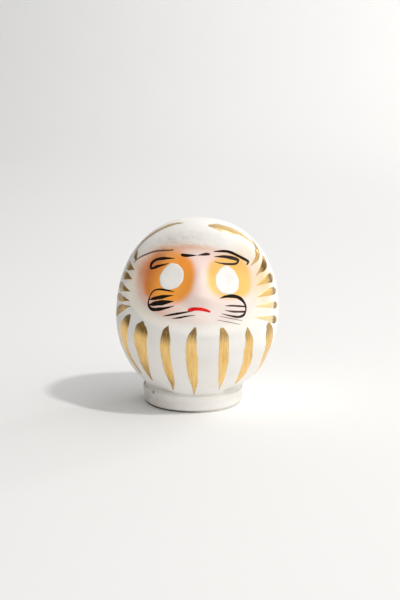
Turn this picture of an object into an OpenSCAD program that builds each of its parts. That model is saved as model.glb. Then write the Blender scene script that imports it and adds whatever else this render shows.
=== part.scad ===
// Daruma doll: a hollow papier-mache body on a weighted round foot, with raised paint strokes.
// The face looks along -Y. The foot stands on z = 0 and its centre is the origin.
// Places on the body are given as [azimuth, elevation] in degrees from the body's centre:
// azimuth 0 is straight ahead and grows toward +X, elevation 90 is the crown.

/* [Body] */
// Radius of the body at its widest level
body_r = 51.6; // [47:0.2:56]
// Depth of the body from front to back, as a part of its width
depth = 0.86; // [0.82:0.01:0.95]
// Height of the crown above the widest level
crown_h = 62.4; // [57:0.2:68]
// Depth of the bowl below the widest level
bowl_h = 55.5; // [55:0.1:56]
// Squareness of the crown, 2 is a plain ellipse
crown_power = 2.2; // [2:0.05:2.6]
// Sideways lean of the body on its foot, in degrees
lean = 3.7; // [2:0.1:4]
// Thickness of the papier-mache
wall = 1.5; // [1.2:0.1:2]

/* [Face] */
// Height of the hood's ridge above the body
ridge_rise = 2.2; // [1:0.1:3]
// Depth of the brow behind the hood
brow_depth = 4; // [2:0.2:5]
// Depth of the lower face behind the hood
face_depth = 1; // [0.4:0.1:2]
// How far the nose stands out
nose_rise = 4.6; // [3:0.2:6]
// Depth of the eye sockets
socket_depth = 1.2; // [0.4:0.1:2]
// How far the cheeks stand out
cheek_rise = 1; // [0.4:0.1:2]
// How far the chin stands out
chin_rise = 1.4; // [0.4:0.1:2.4]
// How far the collar stands out under the face
collar_rise = 1.2; // [0.4:0.1:1.6]

/* [Foot] */
// Radius of the foot where it stands
foot_r = 31; // [30.6:0.1:31.4]
// Radius of the foot under its lip
foot_top_r = 32; // [31.8:0.1:32.4]
// Height of the foot to the top of its lip
foot_h = 11.2; // [11:0.1:11.4]
// Thickness of the paper band round the weight
band_t = 0.8; // [0.5:0.1:1]
// Thickness of the paper disc under the weight
disc_t = 0.5; // [0.3:0.1:0.6]

/* [Paint] */
// Thickness of a gold stroke at its middle
gold_t = 0.25; // [0.15:0.05:0.4]
// Thickness of an ink line at its middle
ink_t = 0.2; // [0.15:0.05:0.4]
// Thickness of an eye's white at its middle
eye_t = 0.3; // [0.2:0.05:0.5]

/* [Hidden] */

$fn = 96;
// Height of the widest level, with the body upright
waist_z = 56.6;
// The body leans about a line in the foot at this height, and sits this far off centre
lean_z = 12;
lean_x = -0.4;
// Clearance between the skin and the underside of its paint
gap = 0.06;
// Distance from the centre at which a stroke's stated width is true
paint_r = 55;
white = [0.96, 0.95, 0.92];
gold = [0.83, 0.66, 0.36];
ink = [0.09, 0.08, 0.08];

// Lowest ring of the shell, in degrees below the widest level
rim_el = -60;
rim_r = reach(rim_el) * cos(rim_el);
rim_z = reach(rim_el) * sin(rim_el);

// ---- Surface of the body ----

function ease(from, to, x) = let (t = max(0, min(1, (x - from) / (to - from)))) t * t * (3 - 2 * t);
function swell(x, at, spread) = exp(-pow((x - at) / spread, 2));

// Distance from the centre to the plain body at an elevation
function reach(el) =
    let (n = el >= 0 ? crown_power : 2)
    let (h = el >= 0 ? crown_h : bowl_h)
    pow(pow(abs(cos(el)) / body_r, n) + pow(abs(sin(el)) / h, n), -1 / n);

// The hood's edge lies near one upright plane; facing is 1 straight ahead and 0 at the sides
function facing(az, el) = cos(az) * cos(el);
function hood_edge(az, el) = ridge_rise * swell(facing(az, el), 0.34, 0.13) * ease(26, 46, el);
function face_hollow(az, el) =
    -(face_depth + brow_depth * ease(10, 52, el)) * ease(0.38, 0.62, facing(az, el)) * ease(-2, 12, el);
function nose(az, el) =
    nose_rise * swell(az, 0, 10.5 - 5 * ease(26, 46, el)) * (1 - ease(27, 52, el)) * ease(17, 25, el);
function pair(az, el, side, at_el, spread, height) =
    swell(az, -side, spread) * swell(el, at_el, height) + swell(az, side, spread) * swell(el, at_el, height);
// The bowl is flatter over the right of the foot and leaves a ledge of it bare
function foot_hollow(az, el) = -1.5 * swell(az, 68, 42) * ease(-42, -53, el);
// The front swells a little below the face, as the folds of a robe over a belly
function belly(az, el) = 1.1 * swell(el, -9, 9.5) * ease(0.15, 0.55, facing(az, el));
// Where the body was pressed down over the front of the foot
function lap(az, el) = 3 * ease(-38, -8, az) * ease(44, 24, az) * ease(-44, -51, el)
    * ease(-60, -54, el);
// A soft ridge under the face, where the robe's collar stands out
function collar(az, el) = collar_rise * ease(42, 24, el) * swell(
    pow(pow(abs((az + 2) / 54), 2.3) + pow(abs((el - 32.3) / 26.2), 2.3), 1 / 2.3), 1.23, 0.145);
function relief(az, el) = hood_edge(az, el) + face_hollow(az, el) + nose(az, el)
    + foot_hollow(az, el) + belly(az, el) + lap(az, el) + collar(az, el)
    - socket_depth * pair(az, el, 22, 38, 11, 8)
    + cheek_rise * pair(az, el, 28, 18, 13, 9)
    + chin_rise * swell(az, 0, 18) * swell(el, 9, 6);

function ray(az, el) = [sin(az) * cos(el), -cos(az) * cos(el), sin(el)];
// The front hangs a little lower than the sides, as the body is shallower than it is wide
function sink(az, el) = 2 * cos(az) * ease(-60, -50, el) * (1 - ease(35, 90, el));
function skin(az, el, lift) =
    let (p = (reach(el) + relief(az, el) + lift) * ray(az, el - sink(az, el)))
    [p[0], depth * p[1], p[2]];

// Sets a shape made round the body's centre in its place on the foot
module on_foot()
    translate([lean_x, 0, lean_z]) rotate([0, lean, 0]) translate([0, 0, waist_z - lean_z]) children();

// ---- Grids ----

// Columns are close together over the face and wide apart behind it
columns = [for (az = [-100:2.5:100]) az, for (az = [110:10:250]) az];
outer_rows = [for (el = [rim_el:6:-6]) el, for (el = [0:3:75]) el, 80, 85];
inner_rows = [for (el = [rim_el:12:84]) el];

function grid(rows, lift) = [for (el = rows, az = columns) skin(az, el, lift)];

// Two triangles for each cell of a grid that closes round its columns
function cells(row_count, n, first) = [for (r = [0:row_count - 2], c = [0:n - 1])
    let (a = first + r * n + c, b = first + r * n + (c + 1) % n)
    each [[a, a + n, b + n], [a, b + n, b]]];
function fan(first, n, tip) = [for (c = [0:n - 1]) [first + c, tip, first + (c + 1) % n]];
function flip(faces) = [for (f = faces) [f[2], f[1], f[0]]];

// ---- Strokes ----

// A smooth curve through hand-placed points [azimuth, elevation, half width in mm]
function curve(p, steps) =
    let (last = len(p) - 1)
    [for (i = [0:last - 1], k = [0:steps - 1])
        let (t = k / steps, a = p[max(i - 1, 0)], b = p[i], c = p[i + 1], d = p[min(i + 2, last)])
        let (q = b + t * (c - a) / 2 + t * t * (2 * a - 5 * b + 4 * c - d) / 2
            + t * t * t * (3 * b - a - 3 * c + d) / 2)
        [q[0], q[1], max(q[2], 0.12)],
    p[last]];

// Sideways direction of a curve on the body, in degrees of elevation per step across
function across(p, i) =
    let (a = p[max(i - 1, 0)], b = p[min(i + 1, len(p) - 1)])
    let (dx = (b[0] - a[0]) * cos(p[i][1]), dy = b[1] - a[1])
    [dy, -dx] / max(norm([dx, dy]), 0.001);

// One raised stroke: a strip that hugs the skin, thick at its middle and thin at its edges
module stroke(points, thickness, steps = 2, lanes = 2) {
    p = curve(points, steps);
    ring = 2 * (lanes + 1);
    verts = [for (i = [0:len(p) - 1]) let (s = across(p, i)) for (j = [0:ring - 1])
        let (top = j > lanes, t = (top ? ring - 1 - j : j) * 2 / lanes - 1)
        let (turn = t * p[i][2] / paint_r * 180 / PI)
        let (el = p[i][1] + turn * s[1], az = p[i][0] + turn * s[0] / cos(p[i][1]))
        skin(az, el, gap + (top ? thickness * (1 - 0.6 * t * t) : 0))];
    n = len(p) - 1;
    starts = [for (j = [0:lanes - 1])
        each [[j, j + 1, ring - 2 - j], [j, ring - 2 - j, ring - 1 - j]]];
    ends = [for (f = flip(starts)) [for (v = f) v + n * ring]];
    polyhedron(verts, flip(concat(cells(n + 1, ring, 0), starts, ends)));
}

// A rounded patch of paint, tilted on the skin, thick at its middle
module patch(az, el, half_w, half_h, tilt, thickness) {
    rings = 4;
    sides = 32;
    mm = 180 / PI / paint_r;
    function spot(r, a, lift) =
        let (x = r * half_w * cos(a), y = r * half_h * sin(a))
        let (u = x * cos(tilt) - y * sin(tilt), v = x * sin(tilt) + y * cos(tilt))
        skin(az + u * mm / cos(el), el + v * mm, lift);
    top = [for (k = [1:rings], s = [0:sides - 1])
        spot(k / rings, s * 360 / sides, gap + thickness * (1 - 0.6 * pow(k / rings, 2)))];
    under = [for (k = [rings:-1:1], s = [0:sides - 1]) spot(k / rings, s * 360 / sides, gap)];
    verts = concat(top, under, [spot(0, 0, gap + thickness), spot(0, 0, gap)]);
    total = 2 * rings * sides;
    polyhedron(verts, concat(flip(cells(2 * rings, sides, 0)),
        fan(0, sides, total), flip(fan(total - sides, sides, total + 1))));
}

// ---- Structural pieces ----

// Hollow papier-mache body, open under the bowl
module paper_shell() {
    n = len(columns);
    outer = grid(outer_rows, 0);
    inner = grid(inner_rows, -wall);
    first_inner = len(outer);
    poles = first_inner + len(inner);
    rim = [for (c = [0:n - 1]) let (d = (c + 1) % n)
        each [[c, d, first_inner + d], [c, first_inner + d, first_inner + c]]];
    color(white) on_foot() polyhedron(
        concat(outer, inner, [skin(0, 90, 0), skin(0, 90, -wall)]),
        concat(cells(len(outer_rows), n, 0), flip(cells(len(inner_rows), n, first_inner)), rim,
            fan(first_inner - n, n, poles), flip(fan(poles - n, n, poles + 1))));
}

// Paper strip pasted over the slit in the back
module back_seam_strip()
    color(white) on_foot() stroke([[180, 62, 7], [180, 40, 7], [180, 15, 7], [180, -10, 7],
        [180, -30, 7], [180, -46, 7]], 0.35, 3, 4);

// Space taken by the body in the foot: its bowl, down to just under the shell's rim
module bowl_space(clear, inner_r)
    on_foot() scale([1, depth, 1]) rotate_extrude() polygon([
        [inner_r, rim_z - clear],
        for (el = [rim_el - 1:4:-37]) [(reach(el) + clear) * cos(el), reach(el) * sin(el)],
        [inner_r, -30]]);

// Unfired clay weight, with a seat for the shell's rim, a trough for the glue and a low boss
module clay_weight()
    color([0.62, 0.5, 0.4]) difference() {
        rotate_extrude() polygon([[0, disc_t + 0.05], [foot_r - band_t - 0.1, disc_t + 0.05],
        [foot_top_r - band_t - 0.1, foot_h - 1.4], [29.8, foot_h - 1.4], [28.8, foot_h - 2.7],
        [24, foot_h - 2.7], [19, 12.5], [0, 14.5]]);
        bowl_space(0.35, 23.5);
    }

// The room the shell takes up where it meets the glue, from its rim to above the fillet
module shell_space(clear) {
    turns = [for (az = [-180:10:170]) az];
    rows = [for (el = [rim_el - 1:3:-36]) el];
    n = len(turns);
    last = (len(rows) - 1) * n;
    verts = concat([for (el = rows, az = turns) skin(az, el, clear)], [[0, 0, rim_z], [0, 0, -30]]);
    polyhedron(verts, concat(cells(len(rows), n, 0), flip(fan(0, n, last + n)), fan(last, n, last + n + 1)));
}

// Glue and chalk fillet between the leaning body and the top of the weight
module glue_bed()
    color([0.72, 0.68, 0.63]) difference() {
        on_foot() rotate_extrude() polygon([[25, -49], [31.5, -49], [31.5, -46.6], [30.5, -46.1],
        [28.5, -45.5], [26.5, -44.9], [25, -44.8]]);
        on_foot() shell_space(0.25);
        rotate_extrude() polygon([[0, -5], [40, -5], [40, foot_h - 1.35], [29.77, foot_h - 1.35],
        [28.77, foot_h - 2.65], [0, foot_h - 2.65]]);
        difference() {
            cylinder(h = 20, r = 60);
            translate([0, 0, -1]) cylinder(h = 22, r = 30.9);
        }
    }

// Paper band round the weight, with a rounded lip that stands above the clay
module base_band()
    color(white) rotate_extrude() polygon([[foot_r - band_t, disc_t + 0.02], [foot_r - 0.3, disc_t + 0.02],
        [foot_r, disc_t + 0.5], [foot_top_r, foot_h - 1.5], [foot_top_r + 0.25, foot_h - 0.9],
        [foot_top_r + 0.2, foot_h - 0.3], [foot_top_r - 0.2, foot_h], [foot_top_r - 0.7, foot_h - 0.1],
        [foot_top_r - band_t - 0.05, foot_h - 0.5], [foot_top_r - band_t, foot_h - 1.4]]);

// Paper disc that closes the underside
module base_paper_disc()
    color([0.9, 0.88, 0.84]) cylinder(h = disc_t, r = foot_r - 0.4);

// ---- Gold strokes ----

module gold_hood_strokes() color(gold) on_foot() {
    stroke([[-43, 73, 0.6], [-55, 72.2, 1.5], [-66, 68.3, 2.4], [-71, 63.3, 2.6], [-74.8, 57.7, 2.6],
        [-78, 52.5, 2.3], [-78.5, 48, 1.8], [-74, 44, 1.6], [-66, 42, 2], [-61.5, 39.5, 0.5]], gold_t, 2, 4);
    stroke([[14, 71.8, 1.6], [20.5, 71.5, 3.1], [30.5, 70.9, 4.7], [40, 69.6, 5.2], [47.5, 68, 5],
        [53.5, 66.4, 4.2], [58, 64.3, 3.5], [61.6, 61.4, 3.1], [62.8, 58.6, 2.3],
        [61.6, 55.9, 0.7]], gold_t, 2, 4);
    stroke([[78, 60.5, 0.3], [76.5, 58, 0.9], [71.5, 55.4, 1.7], [64.3, 52.1, 1.8],
        [58.7, 49.2, 1.7], [55.5, 46.9, 1.5], [52, 45.4, 0.9], [48, 44, 0.2]], gold_t, 2, 4);
}

module gold_mane_strokes_left() color(gold) on_foot() {
    stroke([[-81, 35, 0.9], [-76, 34.5, 2.5], [-68, 34, 2.2], [-60, 34, 0.2]], gold_t, 3, 4);
    stroke([[-81, 27.5, 0.9], [-75, 27.5, 2.4], [-67, 28, 2.2], [-60, 28, 0.2]], gold_t, 3, 4);
    stroke([[-84, 19.5, 0.9], [-78, 19.5, 2.8], [-68, 20, 2.4], [-58.5, 20, 0.2]], gold_t, 3, 4);
    stroke([[-83, 11.5, 0.9], [-77, 12, 2.5], [-67, 13, 2.1], [-56.5, 14, 0.2]], gold_t, 3, 4);
    stroke([[-82, -2, 0.9], [-77, 1.5, 3], [-68, 6, 2.6], [-54, 10.5, 0.2]], gold_t, 3, 4);
}

module gold_mane_strokes_right() color(gold) on_foot() {
    stroke([[69.5, 46, 1.5], [66.5, 44.6, 2.4], [62, 42, 2.6], [58, 40, 1.9], [54.4, 38.9, 0.8],
        [51, 37.3, 0.2]], gold_t, 2, 4);
    stroke([[75.5, 33.2, 1.7], [69, 33, 2.9], [62.4, 32.9, 2.5], [57.3, 32.4, 1.7],
        [53.3, 31.8, 0.8], [50.2, 31.1, 0.2]], gold_t, 2, 4);
    stroke([[77.5, 23.3, 1.4], [69.5, 24.3, 2.5], [61, 24.6, 2.2], [55.7, 24.4, 1.5],
        [51.7, 24, 0.8], [48.7, 23.7, 0.2]], gold_t, 2, 4);
    stroke([[77.5, 13.2, 1.3], [72.5, 14.1, 2.2], [63, 15.8, 2.1], [56, 16.6, 1.5],
        [50, 17.3, 0.9], [45, 17.8, 0.2]], gold_t, 2, 4);
    stroke([[76.5, 2.7, 1.5], [70, 4.4, 2.5], [64, 6.1, 2.3], [58, 7.5, 1.8], [51, 8.8, 1.2],
        [42.5, 10.5, 0.2]], gold_t, 2, 4);
}

module gold_robe_strokes() color(gold) on_foot() {
    stroke([[-54, 4, 1.2], [-57, 0, 3.6], [-61, -7, 5.7], [-64, -15, 5.2], [-64, -23, 3.9],
        [-61, -30, 2.9], [-58, -37, 1.8], [-57, -42, 0.3]], gold_t, 2, 4);
    stroke([[-39.4, 1.9, 1.5], [-39.6, 1, 3], [-39.9, -0.3, 4.2], [-40.4, -2.1, 5.1],
        [-41, -5.2, 5.8], [-41.9, -10, 5.7], [-42.7, -18, 5.2], [-43, -27, 4.1],
        [-44, -36, 2.6], [-44, -45, 0.4]], gold_t, 2, 4);
    stroke([[-19.5, 3.5, 0.3], [-20.5, 0, 2.1], [-21, -5, 3.2], [-21.5, -14, 3.6],
        [-21.5, -23, 3.4], [-20.5, -33, 3], [-20, -41, 2], [-20.5, -49, 0.3]], gold_t, 2, 4);
    stroke([[-1.3, 3.6, 1], [-1.9, 1.2, 1.9], [-2.9, -3, 2.9], [-3, -11, 3.6], [-2, -20, 3.8],
        [-1, -30, 3.4], [1, -41.5, 2.2], [1.7, -49.4, 0.3]], gold_t, 2, 4);
    stroke([[17.3, 2.9, 1.9], [18, 0.5, 2.6], [19, -4, 3.2], [20, -13, 3.4], [22, -23, 3.2],
        [24, -34, 2.3], [26, -41, 1.2], [28, -47, 0.3]], gold_t, 2, 4);
    stroke([[36, 4, 0.3], [37, 0, 2.2], [39, -5, 3.1], [40, -13, 3.6], [43, -22, 3.8],
        [44, -30, 3.5], [45, -37, 2.6], [45, -44, 0.4]], gold_t, 2, 4);
    stroke([[60, 1.2, 3], [60.8, -1, 4.6], [62.6, -6, 5.7], [66, -15.5, 5.5], [69, -24, 4.3],
        [72, -31, 2.9], [75, -37, 1.4], [77, -41, 0.3]], gold_t, 2, 4);
}

// ---- Ink lines ----

module brow_lines_left() color(ink) on_foot() {
    stroke([[-63.5, 37.5, 0.2], [-61, 40, 0.4], [-53.5, 45, 0.4], [-44.5, 50, 0.4],
        [-30.5, 54, 0.25]], ink_t, 3);
    stroke([[-27, 50, 0.15], [-36, 48.1, 0.75], [-42.8, 45.6, 0.75], [-46.2, 42.6, 0.7],
        [-46.3, 39.9, 0.65], [-45, 39.5, 0.6], [-40, 42.3, 0.75], [-31.5, 46, 0.15]], ink_t, 3);
}

module brow_lines_right() color(ink) on_foot() {
    stroke([[13.5, 56.4, 0.2], [24, 55.7, 0.62], [32, 53.9, 0.64], [39.8, 50.5, 0.6],
        [46, 46.9, 0.68], [44.8, 45.6, 0.4]], ink_t, 3);
    stroke([[14, 53.6, 0.2], [23.5, 53, 0.65], [31.2, 51.5, 0.8], [36, 50, 0.8], [37.2, 49, 0.7],
        [34.8, 47.9, 0.62], [28, 48.4, 0.65], [18.5, 49.5, 0.4], [13.5, 50.5, 0.15]], ink_t, 3);
}

module brow_centre_dots() color(ink) on_foot() {
    stroke([[-20.4, 53, 0.7], [-17.5, 53, 0.88], [-11, 53.5, 0.7], [-5, 54, 0.12]], ink_t, 3);
    stroke([[8, 55, 0.6], [5, 55, 0.75], [0, 54.5, 0.45], [-4, 54, 0.12]], ink_t, 3);
}

module whiskers_left() color(ink) on_foot() {
    stroke([[-19, 27, 0.15], [-25, 27.3, 0.7], [-31.5, 26.9, 0.65], [-35.9, 24.8, 0.5],
        [-37.4, 20.5, 0.45], [-37.6, 17, 0.6], [-36.6, 14.2, 0.95], [-33.2, 12.7, 1.05],
        [-28, 13.6, 1], [-22, 15.5, 0.65], [-17, 17.5, 0.15]], ink_t);
    stroke([[-36.7, 18.9, 0.4], [-31.8, 20.6, 1.2], [-25, 22.8, 1.05], [-19, 24.5, 0.15]], ink_t, 3);
    stroke([[-36.1, 15.2, 0.6], [-30.8, 17.1, 1.7], [-24, 18.9, 1.3], [-18, 20.5, 0.15]], ink_t, 3);
}

module whiskers_right() color(ink) on_foot() {
    stroke([[15.3, 24.5, 0.15], [19.5, 25.8, 0.8], [25.5, 26, 1.2], [30, 24.9, 1.4], [33.4, 22.4, 1.2],
        [35.2, 19, 0.75], [35.2, 15.5, 0.6], [33.2, 12.6, 0.85], [28.8, 11.7, 0.8], [23, 12.7, 0.5],
        [16.5, 14, 0.15]], ink_t);
    stroke([[19, 19.5, 0.15], [25, 19.4, 0.6], [34.4, 18.4, 0.5]], ink_t, 3);
    stroke([[19, 16.5, 0.15], [25, 15.5, 0.65], [34.4, 14.9, 0.65]], ink_t, 3);
}

module moustache_lines_left() color(ink) on_foot() {
    stroke([[-24, 9.6, 0.15], [-19, 11.1, 0.65], [-12.5, 13, 0.65], [-7, 14.5, 0.4], [-3, 15.5, 0.12]], ink_t);
    stroke([[-17.5, 8.8, 0.15], [-12.2, 10.1, 0.6], [-7.5, 11.5, 0.45], [-2, 12.5, 0.12]], ink_t);
}

module moustache_lines_right() color(ink) on_foot() {
    stroke([[15, 12.5, 0.12], [23, 11, 0.25], [32, 9, 0.15]], ink_t);
    stroke([[13.5, 10, 0.12], [21.5, 8.5, 0.25], [30.5, 6.5, 0.15]], ink_t);
}

module mouth_line() color([0.84, 0.08, 0.07]) on_foot()
    stroke([[-6.2, 15.8, 1], [-3, 16.7, 1.15], [2, 16.9, 1.05], [5.6, 16.3, 1], [7.8, 15.6, 0.75]], ink_t, 3);

// ---- Eyes ----

module eye_white_left() color([0.93, 0.92, 0.9]) on_foot() patch(-24.6, 37.4, 8, 9.3, 6, eye_t);

module eye_white_right() color([0.93, 0.92, 0.9]) on_foot() patch(23.3, 37.3, 8.1, 9.8, -9, eye_t);

paper_shell();
back_seam_strip();
clay_weight();
glue_bed();
base_band();
base_paper_disc();
gold_hood_strokes();
gold_mane_strokes_left();
gold_mane_strokes_right();
gold_robe_strokes();
brow_lines_left();
brow_lines_right();
brow_centre_dots();
whiskers_left();
whiskers_right();
moustache_lines_left();
moustache_lines_right();
mouth_line();
eye_white_left();
eye_white_right();
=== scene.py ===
import math

import bpy
import numpy as np
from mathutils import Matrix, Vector


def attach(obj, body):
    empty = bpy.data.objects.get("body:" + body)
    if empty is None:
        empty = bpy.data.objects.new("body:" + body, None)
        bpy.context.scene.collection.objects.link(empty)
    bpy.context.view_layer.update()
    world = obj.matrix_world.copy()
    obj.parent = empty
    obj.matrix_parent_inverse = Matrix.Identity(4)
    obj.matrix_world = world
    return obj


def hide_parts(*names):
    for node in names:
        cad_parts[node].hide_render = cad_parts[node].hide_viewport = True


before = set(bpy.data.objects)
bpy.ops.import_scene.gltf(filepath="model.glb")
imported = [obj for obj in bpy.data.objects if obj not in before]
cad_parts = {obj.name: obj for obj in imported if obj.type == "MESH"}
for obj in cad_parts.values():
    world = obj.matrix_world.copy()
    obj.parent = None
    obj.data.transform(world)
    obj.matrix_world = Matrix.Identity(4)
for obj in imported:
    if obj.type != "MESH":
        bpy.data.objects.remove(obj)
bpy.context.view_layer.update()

MM = 0.001

# ---------------------------------------------------------------- the body's surface
# Places are azimuth and elevation in degrees from the body's centre. Azimuth 0 looks
# along -Y and grows toward +X. Lengths here are in millimetres, as in the CAD source.

BODY_R, CROWN_H, BOWL_H, CROWN_POWER = 51.6, 62.4, 55.5, 2.2
DEPTH = 0.86
LEAN, LEAN_Z, LEAN_X, WAIST_Z = math.radians(3.7), 12.0, -0.4, 56.6
WALL = 1.5
# A stroke's half width is true at this distance from the body's centre
PAINT_R = 55.0
MM_PER_DEGREE = math.pi / 180 * PAINT_R
DEGREES_PER_MM = 180 / math.pi / PAINT_R
# Where the underside of paint lies and how high its thinnest film stands, from the skin
ROOT, FILM = -0.12, 0.04
# Azimuth of the chip in the foot's lip
CHIP_AZ = 308


def ease(start, end, x):
    """0 at start and 1 at end, with a smooth step between; start may be the larger."""
    t = np.clip((x - start) / (end - start), 0, 1)
    return t * t * (3 - 2 * t)


def swell(x, at, width):
    """A soft hump, 1 where x is at."""
    return np.exp(-(((x - at) / width) ** 2))


def sin(a):
    return np.sin(np.radians(a))


def cos(a):
    return np.cos(np.radians(a))


def reach(el):
    """The plain form's distance from the body's centre, before its depth is scaled."""
    n = np.where(el >= 0, CROWN_POWER, 2.0)
    h = np.where(el >= 0, CROWN_H, BOWL_H)
    return ((np.abs(cos(el)) / BODY_R) ** n + (np.abs(sin(el)) / h) ** n) ** (-1 / n)


def facing(az, el):
    """1 straight ahead, 0 at the sides, the top and the bottom."""
    return cos(az) * cos(el)


def oval(az, el, at_az, at_el, half_az, half_el, power):
    """0 at the middle of a rounded oval and 1 on its edge."""
    across = np.abs((az - at_az) / half_az) ** power
    up = np.abs((el - at_el) / half_el) ** power
    return (across + up) ** (1 / power)


def two_sides(az, el, side, at_el, width, height):
    """The same soft hump on the left and on the right."""
    return (swell(az, -side, width) + swell(az, side, width)) * swell(el, at_el, height)


def relief(az, el):
    """How far the modelled features stand out of the plain form, in mm."""
    f = facing(az, el)
    hood = 2.2 * swell(f, 0.34, 0.13) * ease(26, 46, el)
    hollow = -(1 + 4 * ease(10, 52, el)) * ease(0.38, 0.62, f) * ease(-2, 12, el)
    nose = 4.6 * swell(az, 0, 10.5 - 5 * ease(26, 46, el)) * (1 - ease(27, 52, el)) * ease(17, 25, el)
    foot = -1.5 * swell(az, 68, 42) * ease(-42, -53, el)
    belly = 1.1 * swell(el, -9, 9.5) * ease(0.15, 0.55, f)
    collar = 1.2 * swell(oval(az, el, -2, 32.3, 54, 26.2, 2.3), 1.23, 0.145) * ease(42, 24, el)
    lap = 3.0 * ease(-38, -8, az) * ease(44, 24, az) * ease(-44, -51, el) * ease(-60, -54, el)
    sockets = 1.2 * two_sides(az, el, 22, 38, 11, 8)
    cheeks = 1.0 * two_sides(az, el, 28, 18, 13, 9)
    chin = 1.4 * swell(az, 0, 18) * swell(el, 9, 6)
    return hood + foot + belly + lap + collar + hollow + nose - sockets + cheeks + chin


def ray(az, el):
    """The unit direction toward a place."""
    return np.stack([sin(az) * cos(el), -cos(az) * cos(el), sin(el) + 0 * az], -1)


waves = np.random.default_rng(7)


def wave_set(count, pitch):
    """Smooth random waves over directions; pitch is the cycles across the body's radius."""
    d = waves.normal(size=(count, 3))
    d /= np.linalg.norm(d, axis=1)[:, None]
    k = d * pitch * 2 * math.pi * waves.uniform(0.7, 1.4, (count, 1))
    return k, waves.uniform(0, 6.28, count)


def ripple(points, waveset):
    k, phase = waveset
    return np.sin(points @ k.T + phase).sum(-1) / math.sqrt(len(phase))


BROAD = wave_set(9, 1.1)
MIDDLE = wave_set(14, 3.6)
SMALL = wave_set(18, 10.0)
CREASE = wave_set(16, 14.0)


def lumps(az, el):
    """The unevenness of hand-laid papier-mache, in mm; -0.12 keeps it within the CAD shape."""
    d = ray(az, el)
    f = facing(az, el)
    band = swell(f, 0.45, 0.1) * ease(38, 52, el)
    smooth_face = 1 - 0.55 * ease(0.5, 0.7, f) * ease(2, 14, el)
    lump = 0.13 * ripple(d, BROAD) + 0.075 * ripple(d, MIDDLE) + 0.02 * ripple(d, SMALL)
    folds = np.abs(ripple(d * np.array([1.0, 1.0, 0.45]), CREASE))
    return lump * smooth_face - 0.12 + band * (0.04 - 0.05 * folds + 0.13 * ripple(d, MIDDLE))


def spread(az, el, radius):
    """The point at a place on the body, which is shallower than wide and hangs lower in front."""
    sink = 2 * cos(az) * ease(-60, -50, el) * (1 - ease(35, 90, el))
    return ray(az, el - sink) * radius[..., None] * np.array([1, DEPTH, 1])


def skin(az, el, lift=0.0):
    """The lumpy outer surface, raised by lift."""
    az, el = np.asarray(az, float), np.asarray(el, float)
    return spread(az, el, reach(el) + relief(az, el) + lumps(az, el) + lift)


def placed(p):
    """From the body's own frame to the shared frame, in metres."""
    x, y, z = p[..., 0], p[..., 1], p[..., 2] + WAIST_Z - LEAN_Z
    c, s = math.cos(LEAN), math.sin(LEAN)
    return np.stack([c * x + s * z + LEAN_X, y, c * z - s * x + LEAN_Z], -1) * MM


# ---------------------------------------------------------------- mesh helpers


def make_object(name, verts, faces):
    mesh = bpy.data.meshes.new(name)
    mesh.from_pydata([tuple(v) for v in np.asarray(verts).tolist()], [], faces)
    mesh.validate()
    mesh.update()
    mesh.polygons.foreach_set("use_smooth", [True] * len(mesh.polygons))
    obj = bpy.data.objects.new(name, mesh)
    bpy.context.scene.collection.objects.link(obj)
    return obj


def add_values(obj, name, values):
    layer = obj.data.attributes.new(name, "FLOAT", "POINT")
    layer.data.foreach_set("value", np.asarray(values, np.float32))


def add_uv(obj, uv):
    layer = obj.data.uv_layers.new(name="UVMap")
    loops = np.empty(len(obj.data.loops), np.int32)
    obj.data.loops.foreach_get("vertex_index", loops)
    layer.data.foreach_set("uv", np.asarray(uv, np.float32)[loops].ravel())


def grid_faces(rows, n, first=0, closed=True, flip=False):
    out = []
    for r in range(rows - 1):
        for c in range(n if closed else n - 1):
            a = first + r * n + c
            b = first + r * n + (c + 1) % n
            quad = (a, b, b + n, a + n)
            out.append(quad[::-1] if flip else quad)
    return out


def fan_faces(first, n, tip, flip=False):
    out = [(first + c, first + (c + 1) % n, tip) for c in range(n)]
    return [f[::-1] for f in out] if flip else out


def settle(obj, node):
    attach(obj, "root")
    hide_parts(node)


# ---------------------------------------------------------------- materials


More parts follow.
